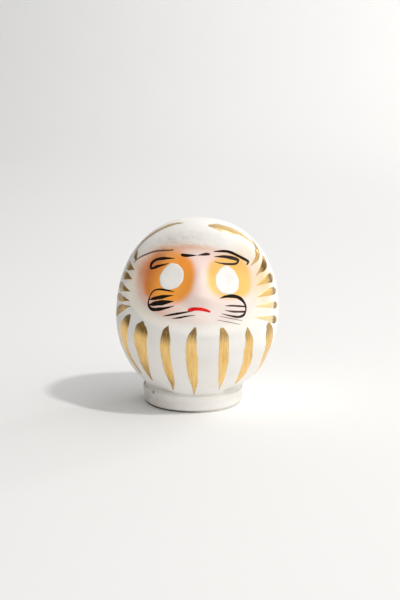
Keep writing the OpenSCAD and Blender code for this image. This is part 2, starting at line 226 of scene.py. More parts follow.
class Nodes:
    """A short way to write node trees."""

    def __init__(self, name):
        self.mat = bpy.data.materials.new(name)
        self.mat.use_nodes = True
        self.tree = self.mat.node_tree
        self.tree.nodes.clear()
        self.out = self.tree.nodes.new("ShaderNodeOutputMaterial")
        self.shader = self.tree.nodes.new("ShaderNodeBsdfPrincipled")
        self.tree.links.new(self.shader.outputs[0], self.out.inputs[0])

    def put(self, socket, value):
        if isinstance(value, bpy.types.NodeSocket):
            self.tree.links.new(value, socket)
        elif isinstance(value, (tuple, list)) and len(value) == 3 and len(socket.default_value) == 4:
            socket.default_value = (*value, 1)
        else:
            socket.default_value = value

    def set(self, **inputs):
        for key, value in inputs.items():
            self.put(self.shader.inputs[key.replace("_", " ")], value)

    def where(self, kind="Object"):
        return self.tree.nodes.new("ShaderNodeTexCoord").outputs[kind]

    def scaled(self, vector, scale):
        n = self.tree.nodes.new("ShaderNodeMapping")
        self.put(n.inputs["Vector"], vector)
        n.inputs["Scale"].default_value = scale
        return n.outputs[0]

    def noise(self, vector, scale, detail=4.0, rough=0.5, distort=0.0):
        n = self.tree.nodes.new("ShaderNodeTexNoise")
        self.put(n.inputs["Vector"], vector)
        n.inputs["Scale"].default_value = scale
        n.inputs["Detail"].default_value = detail
        n.inputs["Roughness"].default_value = rough
        n.inputs["Distortion"].default_value = distort
        return n.outputs[0]

    def spots(self, vector, scale):
        n = self.tree.nodes.new("ShaderNodeTexVoronoi")
        self.put(n.inputs["Vector"], vector)
        n.inputs["Scale"].default_value = scale
        return n.outputs["Distance"]

    def value(self, name):
        n = self.tree.nodes.new("ShaderNodeAttribute")
        n.attribute_name = name
        return n.outputs["Fac"]

    def remap(self, value, from_low, from_high, to_low=0.0, to_high=1.0, smooth=False):
        n = self.tree.nodes.new("ShaderNodeMapRange")
        n.interpolation_type = "SMOOTHSTEP" if smooth else "LINEAR"
        for key, v in zip(("Value", "From Min", "From Max", "To Min", "To Max"),
                          (value, from_low, from_high, to_low, to_high)):
            self.put(n.inputs[key], v)
        return n.outputs[0]

    def math(self, op, a, b=0.0):
        n = self.tree.nodes.new("ShaderNodeMath")
        n.operation = op
        self.put(n.inputs[0], a)
        self.put(n.inputs[1], b)
        return n.outputs[0]

    def times(self, a, b):
        return self.math("MULTIPLY", a, b)

    def plus(self, a, b):
        return self.math("ADD", a, b)

    def sides(self, vector):
        n = self.tree.nodes.new("ShaderNodeSeparateXYZ")
        self.put(n.inputs[0], vector)
        return n.outputs["X"], n.outputs["Y"]

    def mix(self, factor, a, b):
        """One colour into another; sockets 6, 7 and 2 are the node's colours."""
        n = self.tree.nodes.new("ShaderNodeMix")
        n.data_type = "RGBA"
        self.put(n.inputs[0], factor)
        self.put(n.inputs[6], a)
        self.put(n.inputs[7], b)
        return n.outputs[2]

    def bump(self, height, strength, distance, normal=None):
        n = self.tree.nodes.new("ShaderNodeBump")
        self.put(n.inputs["Height"], height)
        n.inputs["Strength"].default_value = strength
        n.inputs["Distance"].default_value = distance
        if normal is not None:
            self.put(n.inputs["Normal"], normal)
        return n.outputs[0]


WHITE = (0.93, 0.915, 0.885)


def white_ground(name, airbrush=False, brushed=False):
    """Matte white paint over paper, with fibres and faint stains, darkened by a mask of some dirt and
    much painted shade.
    """
    m = Nodes(name)
    here = m.where()
    fibre = m.noise(m.scaled(here, (1, 1, 1.6)), 900, 5, 0.6)
    blotch = m.noise(here, 45, 3, 0.55)
    grain = m.noise(here, 2600, 2, 0.5)
    colour = m.mix(m.remap(blotch, 0.35, 0.7), WHITE, (0.9, 0.875, 0.83))
    colour = m.mix(m.remap(fibre, 0.58, 0.75, 0.0, 0.25), colour, (0.8, 0.76, 0.69))
    if airbrush:
        speckle = m.remap(grain, 0.3, 0.7, -0.05, 0.05)
        cloud = m.remap(m.noise(here, 160, 4, 0.6), 0.3, 0.7, -0.07, 0.07)
        for mask, tone, shade in (
            ("cream", (0.93, 0.83, 0.66), (0.93, 0.85, 0.7)),
            ("pink", (0.94, 0.75, 0.69), (0.93, 0.7, 0.63)),
            ("blush", (0.87, 0.42, 0.22), (0.81, 0.37, 0.19)),
            ("orange", (0.98, 0.38, 0.05), (0.93, 0.3, 0.035)),
            # Painted highlight: the same orange airbrush, lighter and yellower where the key light falls
            # on the right
            ("orange_painted_lit", (0.95, 0.56, 0.12), (0.93, 0.5, 0.09)),
            ("umber", (0.56, 0.15, 0.045), (0.5, 0.13, 0.04)),
        ):
            amount = m.value(mask)
            # strongest where the tint is half there, so only its soft edge breaks up
            edge = m.times(m.times(amount, m.math("SUBTRACT", 1.0, amount)), 4.0)
            broken = m.plus(amount, m.times(edge, m.plus(speckle, cloud)))
            tint = m.mix(m.remap(blotch, 0.4, 0.65), tone, shade)
            colour = m.mix(m.remap(broken, 0.0, 1.0), colour, tint)
    patchy = m.remap(m.noise(here, 260, 4, 0.6), 0.3, 0.65, 0.5, 1.0)
    # A brownish grey laid where the mask says: a little dirt, and painted shade in creases, hollows and
    # on the shaded side
    dirt_and_painted_shade = m.times(m.value("dirt_and_painted_shade"), patchy)
    colour = m.mix(dirt_and_painted_shade, colour, (0.46, 0.41, 0.35))
    height = m.plus(m.times(fibre, 0.7), m.times(grain, 0.3))
    normal = m.bump(height, 0.35, 0.00012)
    if airbrush:
        wrinkle = m.noise(m.scaled(here, (0.7, 0.7, 2.2)), 330, 5, 0.62, 0.9)
        pit = m.noise(here, 210, 4, 0.6)
        rough_hand = m.plus(m.times(wrinkle, 0.6), m.times(pit, 0.4))
        normal = m.bump(m.times(rough_hand, m.value("rumple")), 0.8, 0.0016, normal)
    if brushed:
        stripes = m.noise(m.scaled(m.where("UV"), (3, 60, 1)), 3.0, 5, 0.65, 0.3)
        normal = m.bump(stripes, 0.5, 0.0003, normal)
        colour = m.mix(m.remap(stripes, 0.5, 0.75, 0.0, 0.16), colour, (0.8, 0.775, 0.73))
        colour = m.mix(m.value("chip"), colour, (0.2, 0.1, 0.05))
        # Painted shadow: a near-black line along the foot's bottom edge, where it meets the floor
        colour = m.mix(m.value("painted_contact_shadow"), colour, (0.03, 0.025, 0.02))
    rough = m.remap(blotch, 0.3, 0.7, 0.5, 0.68)
    m.set(Base_Color=colour, Roughness=rough, Normal=normal, Specular_IOR_Level=0.35)
    return m.mat


def gold_paint():
    """Bronze-powder paint laid with a flat brush: streaks along the stroke, thin at its edges."""
    m = Nodes("gold_paint")
    uv = m.where("UV")
    streak = m.noise(m.scaled(uv, (0.35, 2.0, 1)), 2.2, 6, 0.62, 0.25)
    fine = m.noise(m.scaled(uv, (1.2, 10.0, 1)), 2.0, 4, 0.6)
    flake = m.noise(m.where(), 5200, 2, 0.5)
    colour = m.mix(m.remap(streak, 0.3, 0.7), (0.72, 0.42, 0.12), (1.0, 0.74, 0.34))
    colour = m.mix(m.remap(fine, 0.35, 0.7, 0.0, 0.45), colour, (0.97, 0.62, 0.23))
    # Painted dark reflection: the gold darkened where it would mirror the dark room or the shadow beside
    # the doll
    painted_dark = m.times(m.value("shade"), m.remap(streak, 0.25, 0.75, 1.25, 0.6))
    colour = m.mix(m.remap(painted_dark, 0.0, 1.0), colour, (0.2, 0.115, 0.035))
    # Painted highlight: the gold paled where the key light glints, partly thinner gold on the right
    # mane's tails
    sheer_and_highlight = m.times(m.value("pale"), m.remap(fine, 0.3, 0.7, 0.7, 1.0))
    colour = m.mix(sheer_and_highlight, colour, (1.0, 0.86, 0.5))
    thin = m.times(m.value("edge"), m.remap(fine, 0.35, 0.7, 0.2, 1.0))
    colour = m.mix(m.remap(thin, 0.55, 1.0, 0.0, 0.7), colour, (0.86, 0.7, 0.45))
    height = m.plus(m.times(streak, 0.6), m.times(fine, 0.4))
    normal = m.bump(flake, 0.12, 0.00005, m.bump(height, 0.4, 0.00012))
    m.set(
        Base_Color=colour,
        Metallic=m.remap(thin, 0.5, 1.0, 1.0, 0.55),
        Roughness=m.remap(streak, 0.3, 0.7, 0.36, 0.24),
        Normal=normal,
    )
    return m.mat


def brush_ink(name, deep, pale, sheen):
    """Ink or paint from a fine brush; "wash" says where the brush ran dry."""
    m = Nodes(name)
    hair = m.noise(m.scaled(m.where("UV"), (3.0, 30, 1)), 2.4, 5, 0.65, 0.2)
    pool = m.noise(m.where(), 500, 3, 0.5)
    lighter = tuple(min(1, c * 1.9 + 0.003) for c in deep)
    colour = m.mix(m.remap(pool, 0.35, 0.7), deep, lighter)
    dry = m.times(m.value("wash"), m.remap(hair, 0.3, 0.62, 0.2, 1.3))
    colour = m.mix(m.remap(dry, 0.0, 1.0), colour, pale)
    m.set(
        Base_Color=colour,
        Roughness=m.remap(hair, 0.3, 0.7, sheen, sheen + 0.22),
        Normal=m.bump(hair, 0.35, 0.00008),
        Specular_IOR_Level=0.06,
    )
    return m.mat


def eye_paint():
    m = Nodes("eye_paint")
    here = m.where()
    swirl = m.noise(m.scaled(here, (1, 1, 2.2)), 330, 5, 0.6, 0.6)
    stain = m.noise(here, 120, 3, 0.5)
    colour = m.mix(m.remap(stain, 0.35, 0.7), (0.91, 0.895, 0.87), (0.86, 0.84, 0.8))
    colour = m.mix(m.remap(swirl, 0.6, 0.78, 0.0, 0.35), colour, (0.74, 0.7, 0.63))
    m.set(
        Base_Color=colour,
        Roughness=m.remap(swirl, 0.3, 0.7, 0.42, 0.6),
        Normal=m.bump(swirl, 0.4, 0.00015),
    )
    return m.mat


def raw_clay():
    m = Nodes("raw_clay")
    here = m.where()
    body = m.noise(here, 120, 5, 0.6)
    grit = m.spots(here, 900)
    colour = m.mix(m.remap(body, 0.3, 0.7), (0.46, 0.33, 0.23), (0.6, 0.47, 0.36))
    colour = m.mix(m.remap(grit, 0.0, 0.25, 0.5, 0.0), colour, (0.3, 0.22, 0.16))
    m.set(
        Base_Color=colour,
        Roughness=m.remap(body, 0.3, 0.7, 0.75, 0.95),
        Normal=m.bump(body, 0.5, 0.0004, m.bump(grit, 0.4, 0.0002)),
    )
    return m.mat


def plain_paper():
    """Bare paper, with its shaded edge dark where the foot meets the floor."""
    m = Nodes("plain_paper")
    here = m.where()
    fibre = m.noise(m.scaled(here, (1, 4, 1)), 500, 6, 0.65, 0.8)
    scuff = m.noise(here, 60, 4, 0.6)
    colour = m.mix(m.remap(fibre, 0.4, 0.7), (0.82, 0.79, 0.72), (0.7, 0.66, 0.58))
    colour = m.mix(m.remap(scuff, 0.55, 0.75, 0.0, 0.5), colour, (0.52, 0.48, 0.42))
    x, y = m.sides(here)
    radius = m.math("SQRT", m.plus(m.times(x, x), m.times(y, y)))
    dark_side = m.times(m.remap(radius, 0.0308, 0.0313), m.remap(x, 0.015, -0.008, 0.1, 0.92))
    colour = m.mix(dark_side, colour, (0.06, 0.05, 0.04))
    m.set(
        Base_Color=colour,
        Roughness=m.remap(scuff, 0.3, 0.7, 0.7, 0.9),
        Normal=m.bump(fibre, 0.4, 0.0001),
    )
    return m.mat


# ---------------------------------------------------------------- the hollow body


def steps(start, end, step):
    return np.arange(start, end - 1e-6, step)


def face_masks(az, el):
    """Where the airbrush went: pink over the face, cream and blush at its rim, and orange round the eyes.
    Round the right eye the orange is painted lighter and yellower, a painted highlight from the key
    light, and spills over the right cheek and temple."""
    face = oval(az, el, -2, 32.8, 53.5, 26.5, 2.3)
    ahead = np.abs(az) < 90
    left = ease(10, 46, -az)
    low_left = swell(az, -32, 17) * swell(el, 13, 8)
    inside = 1 - ease(0.88, 1.03, face)
    pink = inside * (0.6 + 0.4 * np.clip(ease(12, 32, el) + left + low_left, 0, 1)) * ahead
    cream = swell(face, 1.1, 0.1) * ease(-3, 6, 26 - np.abs(el - 20))
    cream = cream * (0.22 + 0.4 * left + 0.2 * ease(20, 50, az)) * ahead
    # Painted highlight of lit orange over the right cheek and temple
    halo = 0.5 * swell(az, 56, 12) * swell(el, 33, 14) + 0.22 * swell(az, 46, 12) * swell(el, 53, 6)
    rim = swell(face, 0.965 - 0.06 * left, 0.055 + 0.075 * left)
    top = 0.65 * ease(44, 54, el) * ease(38, -25, az) * (1 - left)
    blush = rim * np.clip(0.1 + 0.8 * left * ease(12, 36, el) + top, 0, 1)
    blush = np.clip(blush + 0.4 * low_left * inside, 0, 1) * ahead
    side = np.where(az < -26.5, 21.5, 21.7)
    left_eye = 1 - ease(0.88, 1.16, oval(az, el, -26.5, 36.5, side, 17.5, 2.7))
    right_eye = 1 - ease(0.8, 1.16, oval(az, el, 26, 39, 21, 15, 2.6))
    umber = left_eye * (0.46 * ease(-29, -43, az) + 0.25 * swell(az, -41, 8) * swell(el, 47, 7))
    umber = umber + 0.5 * rim * ease(-36, -50, az) * swell(el, 38, 9)
    return {
        "pink": pink,
        "cream": cream,
        "blush": blush,
        "orange": left_eye * ahead,
        "orange_painted_lit": np.maximum(0.93 * right_eye, halo) * ahead,
        "umber": np.clip(umber, 0, 1) * ahead,
    }


def build_body():
    fine = 0.7
    cols = np.concatenate([steps(-100, 100, fine), steps(100, 260, 2.0)])
    rows = np.concatenate([steps(-60, 84, 0.85), [85.0, 87.0, 88.6]])
    inner_rows = steps(-60, 84, 6.0)
    n = len(cols)

    def sheet(els, lift):
        az, el = np.meshgrid(cols, els)
        if lift:
            return spread(az, el, reach(el) + relief(az, el) + lift).reshape(-1, 3)
        return skin(az, el).reshape(-1, 3)

    outer, inner = sheet(rows, 0), sheet(inner_rows, -WALL - 0.4)
    poles = skin(np.array([0.0, 0.0]), np.array([90.0, 90.0]), np.array([0.0, -WALL]))
    verts = placed(np.concatenate([outer, inner, poles]))
    # the outer skin, the inner skin turned inside out, a cap at each top and the rim between
    start = len(outer)
    end = start + len(inner)
    faces = grid_faces(len(rows), n) + grid_faces(len(inner_rows), n, start, flip=True)
    faces += fan_faces(start - n, n, end) + fan_faces(end - n, n, end + 1, flip=True)
    faces += [(c, start + c, start + (c + 1) % n, (c + 1) % n) for c in range(n)]
    body = make_object("body_shell", verts, faces)

    az, el = (g.ravel() for g in np.meshgrid(cols, rows))
    rest = np.zeros(len(verts) - len(az))
    for name, values in face_masks(az, el).items():
        add_values(body, name, np.concatenate([values, rest]))
    # Painted shade: darker low on the body next to the foot, most on its left, the shaded side
    painted_shade_near_foot = ease(-50, -58, el) * (0.08 + 0.3 * ease(-15, -50, az) * ease(-100, -80, az))
    # Painted shade: the band under the hood's ridge darker, most on the left
    hood_band = swell(facing(az, el), 0.45, 0.1) * ease(40, 54, el)
    shade = hood_band * (0.1 + 0.36 * ease(15, -40, az))
    # The inside of the shell is darkened
    inner_darkening = rest + 0.6
    inner_darkening[-2] = 0  # the outer skin's own pole
    add_values(body, "dirt_and_painted_shade", np.concatenate([painted_shade_near_foot + shade, inner_darkening]))
    add_values(body, "rumple", np.concatenate([hood_band * (0.25 + 0.75 * ease(35, -15, az)), rest]))
    body.data.materials.append(white_ground("airbrushed_white", airbrush=True))
    settle(body, "paper_shell")


# ---------------------------------------------------------------- raised strokes


def curve(points, per_span):
    """A smooth curve through [azimuth, elevation, half width] points."""
    p = np.array(points, float)
    ext = np.vstack([p[0], p, p[-1]])
    out = []
    for i in range(1, len(p)):
        a, b, c, d = ext[i - 1 : i + 3]
        for k in range(per_span):
            t = k / per_span
            bend, twist = 2 * a - 5 * b + 4 * c - d, 3 * b - a - 3 * c + d
            out.append(b + t * (c - a) / 2 + t * t * bend / 2 + t**3 * twist / 2)
    out.append(p[-1])
    out = np.array(out)
    out[:, 2] = np.maximum(out[:, 2], 0.1)
    return out


def capped(c):
    """Adds a round end to each end of a curve."""
    for end in (0, -1):
        other = 1 if end == 0 else -2
        dx = (c[end, 0] - c[other, 0]) * cos(c[end, 1])
        dy = c[end, 1] - c[other, 1]
        length = max(math.hypot(dx, dy), 1e-6)
        w = c[end, 2]
        extra = []
        for s in (0.35, 0.65, 0.85, 0.97):
            turn = s * w / MM_PER_DEGREE
            extra.append([c[end, 0] + dx / length * turn / cos(c[end, 1]),
                          c[end, 1] + dy / length * turn, w * math.sqrt(1 - s * s)])
        c = np.vstack([extra[::-1], c]) if end == 0 else np.vstack([c, extra])
    return c


def stroke_mesh(points, thickness, seed, wash=(0.0, 0.0), lanes=10, ragged=0.02, tone=None):
    """Vertices, faces, uv and masks of one raised brush stroke that hugs the skin."""
    rng = np.random.default_rng(seed)
    c = capped(curve(points, 9))
    n = len(c)
    dx = np.gradient(c[:, 0]) * cos(c[:, 1])
    dy = np.gradient(c[:, 1])
    length = np.maximum(np.hypot(dx, dy), 1e-6)
    side = np.stack([dy / length, -dx / length], -1)
    along = np.concatenate([[0], np.cumsum(length[1:])])
    wander = sum(np.sin(along * f + rng.uniform(0, 6.28)) for f in (0.12, 0.35, 0.9))
    wobble = 1 + ragged * wander * np.minimum(1, c[:, 2])
    t = np.linspace(-1, 1, lanes + 1)
    half = c[:, 2] * wobble / MM_PER_DEGREE
    az = c[:, 0, None] + t * half[:, None] * side[:, :1] / cos(c[:, 1])[:, None]
    el = c[:, 1, None] + t * half[:, None] * side[:, 1:]
    lift = FILM + thickness * np.clip(c[:, 2:3] / 0.5, 0.35, 1) * (1 - np.abs(t) ** 4)
    top = skin(az, el, lift)
    under = skin(az[:, ::-1], el[:, ::-1], np.full((n, lanes + 1), ROOT))
    ring = 2 * (lanes + 1)
    verts = np.concatenate([top, under], 1).reshape(-1, 3)
    faces = grid_faces(n, ring, flip=True)
    for j in range(lanes):
        quad = (j, j + 1, ring - 2 - j, ring - 1 - j)
        faces.append(quad[::-1])
        faces.append(tuple(v + (n - 1) * ring for v in quad))
    u = np.repeat(along[:, None] * 0.09, ring, 1)
    both = np.concatenate([t, t[::-1]])
    v = both[None] * c[:, 2:3] / 6 + 0.5 + rng.uniform(0, 5)
    frac = along / along[-1]
    values = {"wash": wash[0] + (wash[1] - wash[0]) * frac**2, "shade": 0 * frac, "pale": 0 * frac}
    if tone:
        values["shade"], values["pale"] = tone(c[:, 0], c[:, 1], along, frac)
    values = {name: np.repeat(row[:, None], ring, 1).ravel() for name, row in values.items()}
    edge = np.repeat(np.abs(both)[None] ** 2, n, 0)
    near_end = 1 - ease(0.0, 0.08, np.minimum(frac, 1 - frac))
    values["edge"] = np.maximum(edge, near_end[:, None]).ravel()
    return verts, faces, np.stack([u.ravel(), v.ravel()], -1), values


def build_strokes(node, material, strokes, thickness, lanes=10, ragged=0.02, tone=None):
    """One piece from several strokes; each is its points, or (points, wash at both ends)."""
    verts, faces, uvs, values, start = [], [], [], [], 0
    for i, item in enumerate(strokes):
        points, wash = item if isinstance(item, tuple) else (item, (0.0, 0.0))
        v, f, uv, own = stroke_mesh(points, thickness, i + len(node) * 17, wash, lanes, ragged, tone)
        faces += [tuple(k + start for k in face) for face in f]
        start += len(v)
        verts.append(v)
        uvs.append(uv)
        values.append(own)
    obj = make_object(node + "_paint", placed(np.concatenate(verts)), faces)
    add_uv(obj, np.concatenate(uvs))
    for name in values[0]:
        add_values(obj, name, np.concatenate([own[name] for own in values]))
    obj.data.materials.append(material)
    settle(obj, node)


def build_gold():
    gold = gold_paint()
    hood = [
        [[-43, 73, 0.6], [-55, 72.2, 1.5], [-66, 68.3, 2.4], [-71, 63.3, 2.6], [-74.8, 57.7, 2.6],
         [-78, 52.5, 2.3], [-78.5, 48, 1.8], [-74, 44, 1.6], [-66, 42, 2], [-61.5, 39.5, 0.5]],
        [[14, 71.8, 1.6], [20.5, 71.5, 3.1], [30.5, 70.9, 4.7], [40, 69.6, 5.2], [47.5, 68, 5],
         [53.5, 66.4, 4.2], [58, 64.3, 3.5], [61.6, 61.4, 3.1], [62.8, 58.6, 2.3], [61.6, 55.9, 0.7]],
        [[78, 60.5, 0.3], [76.5, 58, 0.9], [71.5, 55.4, 1.7], [64.3, 52.1, 1.8], [58.7, 49.2, 1.7],
         [55.5, 46.9, 1.5], [52, 45.4, 0.9], [48, 44, 0.2]],
    ]
    left = [
        [[-81, 35, 0.9], [-76, 34.5, 2.5], [-68, 34, 2.2], [-60, 34, 0.2]],
        [[-81, 27.5, 0.9], [-75, 27.5, 2.4], [-67, 28, 2.2], [-60, 28, 0.2]],
        [[-84, 19.5, 0.9], [-78, 19.5, 2.8], [-68, 20, 2.4], [-58.5, 20, 0.2]],
        [[-83, 11.5, 0.9], [-77, 12, 2.5], [-67, 13, 2.1], [-56.5, 14, 0.2]],
        [[-82, -2, 0.9], [-77, 1.5, 3], [-68, 6, 2.6], [-54, 10.5, 0.2]],
    ]
    right = [
        [[69.5, 46, 1.5], [66.5, 44.6, 2.4], [62, 42, 2.6], [58, 40, 1.9], [54.4, 38.9, 0.8],
         [51, 37.3, 0.2]],
        [[75.5, 33.2, 1.7], [69, 33, 2.9], [62.4, 32.9, 2.5], [57.3, 32.4, 1.7], [53.3, 31.8, 0.8],
         [50.2, 31.1, 0.2]],
        [[77.5, 23.3, 1.4], [69.5, 24.3, 2.5], [61, 24.6, 2.2], [55.7, 24.4, 1.5], [51.7, 24, 0.8],
         [48.7, 23.7, 0.2]],
        [[77.5, 13.2, 1.3], [72.5, 14.1, 2.2], [63, 15.8, 2.1], [56, 16.6, 1.5], [50, 17.3, 0.9],
         [45, 17.8, 0.2]],
        [[76.5, 2.7, 1.5], [70, 4.4, 2.5], [64, 6.1, 2.3], [58, 7.5, 1.8], [51, 8.8, 1.2],
         [42.5, 10.5, 0.2]],
    ]
    robe = [
        [[-54, 4, 1.2], [-57, 0, 3.6], [-61, -7, 5.7], [-64, -15, 5.2], [-64, -23, 3.9],
         [-61, -30, 2.9], [-58, -37, 1.8], [-57, -42, 0.3]],
        [[-39.4, 1.9, 1.5], [-39.6, 1, 3], [-39.9, -0.3, 4.2], [-40.4, -2.1, 5.1],
         [-41, -5.2, 5.8], [-41.9, -10, 5.7], [-42.7, -18, 5.2], [-43, -27, 4.1],
         [-44, -36, 2.6], [-44, -45, 0.4]],
        [[-19.5, 3.5, 0.3], [-20.5, 0, 2.1], [-21, -5, 3.2], [-21.5, -14, 3.6], [-21.5, -23, 3.4],
         [-20.5, -33, 3], [-20, -41, 2], [-20.5, -49, 0.3]],
        [[-1.3, 3.6, 1], [-1.9, 1.2, 1.9], [-2.9, -3, 2.9], [-3, -11, 3.6], [-2, -20, 3.8],
         [-1, -30, 3.4], [1, -41.5, 2.2], [1.7, -49.4, 0.3]],
        [[17.3, 2.9, 1.9], [18, 0.5, 2.6], [19, -4, 3.2], [20, -13, 3.4], [22, -23, 3.2],
         [24, -34, 2.3], [26, -41, 1.2], [28, -47, 0.3]],
        [[36, 4, 0.3], [37, 0, 2.2], [39, -5, 3.1], [40, -13, 3.6], [43, -22, 3.8],
         [44, -30, 3.5], [45, -37, 2.6], [45, -44, 0.4]],
        [[60, 1.2, 3], [60.8, -1, 4.6], [62.6, -6, 5.7], [66, -15.5, 5.5], [69, -24, 4.3], [72, -31, 2.9],
         [75, -37, 1.4], [77, -41, 0.3]],
    ]

    # How dark and how pale the gold is painted along a stroke: the dark is painted dark reflection and
    # shade, the pale is painted highlight, with thinner gold in the right mane's pale tails
    def hood_tone(az, el, along, frac):
        low_left = 0.5 * ease(66, 46, el) * ease(-40, -60, az)
        low_right = 0.8 * ease(60, 53, el) * ease(40, 60, az)
        painted_dark = 0.15 * ease(12, 0, az) + 0.2 * ease(0, -60, az) + (low_left + low_right)
        # The dark is painted dark reflection on the left and low down; the pale is a painted highlight on
        # the right
        return painted_dark, 0.3 * swell(az, 28, 14)

    def left_tone(az, el, along, frac):
        # Painted dark reflection along the whole stroke
        return 0.85 - 0.25 * ease(0.3, 0.9, frac), 0 * frac

    def right_tone(az, el, along, frac):
        # A painted dark reflection a little in from the outer end; the pale tails are thinner gold and a
        # painted highlight
        painted_dark = 0.2 * (1 - ease(11, 18, along)) + 0.85 * swell(along, 9.5, 3.6)
        return painted_dark + 0.3 * ease(36, 40, el), 0.95 * ease(0.26, 0.45, frac) * ease(22, 16, el)

    def robe_tone(az, el, along, frac):
        # Painted dark reflection at the top of each stroke, more on the left, and at the tail's end
        side = ease(35, -45, az)
        dark_end = 10 + 3.5 * swell(az, -20, 12)
        painted_dark = (0.55 + 0.55 * side) * (1 - ease(0.45 * dark_end, 1.25 * dark_end, along))
        return painted_dark + (0.2 + 0.35 * side) * ease(0.84, 1.0, frac), 0 * frac

    build_strokes("gold_hood_strokes", gold, hood, 0.16, 14, tone=hood_tone)
    build_strokes("gold_mane_strokes_left", gold, left, 0.16, 14, tone=left_tone)
    build_strokes("gold_mane_strokes_right", gold, right, 0.16, 14, tone=right_tone)
    build_strokes("gold_robe_strokes", gold, robe, 0.16, 18, tone=robe_tone)


def build_ink():
    ink = brush_ink("brush_ink", (0.009, 0.005, 0.003), (0.5, 0.36, 0.3), 0.5)
    thin, solid = 0.11, (0.0, 0.0)
    lines = {
        "brow_lines_left": [
            ([[-63.5, 37.5, 0.2], [-61, 40, 0.4], [-53.5, 45, 0.4], [-44.5, 50, 0.4],
              [-30.5, 54, 0.25]], (0.45, 0.1)),
            ([[-27, 50, 0.15], [-36, 48.1, 0.75], [-42.8, 45.6, 0.75], [-46.2, 42.6, 0.7],
              [-46.3, 39.9, 0.65], [-45, 39.5, 0.6], [-40, 42.3, 0.75], [-31.5, 46, 0.15]], solid),
        ],
        "brow_lines_right": [
            ([[13.5, 56.4, 0.2], [24, 55.7, 0.62], [32, 53.9, 0.64], [39.8, 50.5, 0.6], [46, 46.9, 0.68],
              [44.8, 45.6, 0.4]], (0.0, 0.05)),
            ([[14, 53.6, 0.2], [23.5, 53, 0.65], [31.2, 51.5, 0.8], [36, 50, 0.8], [37.2, 49, 0.7],
              [34.8, 47.9, 0.62], [28, 48.4, 0.65], [18.5, 49.5, 0.4], [13.5, 50.5, 0.15]], (0.05, 0.2)),
        ],
        "brow_centre_dots": [
            ([[-20.4, 53, 0.7], [-17.5, 53, 0.88], [-11, 53.5, 0.7], [-5, 54, 0.12]], solid),
            ([[8, 55, 0.6], [5, 55, 0.75], [0, 54.5, 0.45], [-4, 54, 0.12]], (0.08, 0.0)),
        ],
        "whiskers_left": [
            ([[-19, 27, 0.15], [-25, 27.3, 0.7], [-31.5, 26.9, 0.65], [-35.9, 24.8, 0.5],
              [-37.4, 20.5, 0.45], [-37.6, 17, 0.6], [-36.6, 14.2, 0.95], [-33.2, 12.7, 1.05],
              [-28, 13.6, 1], [-22, 15.5, 0.65], [-17, 17.5, 0.15]], solid),
            ([[-36.7, 18.9, 0.4], [-31.8, 20.6, 1.2], [-25, 22.8, 1.05], [-19, 24.5, 0.15]], solid),
            ([[-36.1, 15.2, 0.6], [-30.8, 17.1, 1.7], [-24, 18.9, 1.3], [-18, 20.5, 0.15]], solid),
        ],
        "whiskers_right": [
            ([[15.3, 24.5, 0.15], [19.5, 25.8, 0.8], [25.5, 26, 1.2], [30, 24.9, 1.4],
              [33.4, 22.4, 1.2], [35.2, 19, 0.75], [35.2, 15.5, 0.6], [33.2, 12.6, 0.85],
              [28.8, 11.7, 0.8], [23, 12.7, 0.5], [16.5, 14.2, 0.15]], (0.0, 0.18)),
            ([[19, 19.5, 0.15], [25, 19.4, 0.6], [34.4, 18.4, 0.5]], (0.2, 0.05)),
            ([[19, 16.5, 0.15], [25, 15.5, 0.65], [34.4, 14.9, 0.65]], (0.25, 0.05)),
        ],
        "moustache_lines_left": [
            ([[-24, 9.6, 0.15], [-19, 11.1, 0.65], [-12.5, 13, 0.65], [-7, 14.5, 0.4],
              [-3, 15.5, 0.12]], (0.0, 0.08)),
            ([[-17.5, 8.8, 0.15], [-12.2, 10.1, 0.6], [-7.5, 11.5, 0.45], [-2, 12.5, 0.12]],
             (0.0, 0.12)),
        ],
        "moustache_lines_right": [
            ([[15, 12.5, 0.12], [23, 11, 0.25], [32, 9, 0.15]], (0.4, 0.6)),
            ([[13.5, 10, 0.12], [21.5, 8.5, 0.25], [30.5, 6.5, 0.15]], (0.5, 0.7)),
        ],
    }
    for node, strokes in lines.items():
        build_strokes(node, ink, strokes, thin, 6, 0.07)
    red = brush_ink("mouth_red", (0.72, 0.012, 0.01), (0.85, 0.3, 0.25), 0.3)
    mouth = [[-6.2, 15.8, 1], [-3, 16.7, 1.15], [2, 16.9, 1.05], [5.6, 16.3, 1], [7.8, 15.6, 0.75]]
    build_strokes("mouth_line", red, [(mouth, (0.0, 0.05))], 0.13, 8, 0.05)


def build_eye(node, material, az0, el0, half_w, half_h, tilt, seed):
    """A blank eye: a thin oval patch with a slightly uneven edge."""
    rng = np.random.default_rng(seed)
    rings, sides = 12, 96
    a = np.linspace(0, 360, sides, endpoint=False)
    uneven = sum(np.sin(np.radians(a) * k + rng.uniform(0, 6.28)) for k in (2, 3, 5, 9))
    hand = 1 + 0.012 * uneven

    def ring(r, lift):
        x, y = r * half_w * cos(a) * hand, r * half_h * sin(a) * hand
        u, v = x * cos(tilt) - y * sin(tilt), x * sin(tilt) + y * cos(tilt)
        az = az0 + u * DEGREES_PER_MM / cos(el0)
        return skin(az, el0 + v * DEGREES_PER_MM, np.full(sides, lift))

    parts = [ring(k / rings, FILM + 0.15 * (1 - (k / rings) ** 6)) for k in range(1, rings + 1)]
    parts += [ring(k / rings, ROOT) for k in range(rings, 0, -1)]
    tips = skin(np.array([az0, az0]), np.array([el0, el0]), np.array([0.14, ROOT]))
    verts = placed(np.concatenate(parts + [tips]))
    total = 2 * rings * sides
    faces = grid_faces(2 * rings, sides, flip=True)
    faces += fan_faces(0, sides, total) + fan_faces(total - sides, sides, total + 1, flip=True)
    eye = make_object(node + "_paint", verts, faces)
    eye.data.materials.append(material)
    settle(eye, node)


# ---------------------------------------------------------------- the back seam and the foot


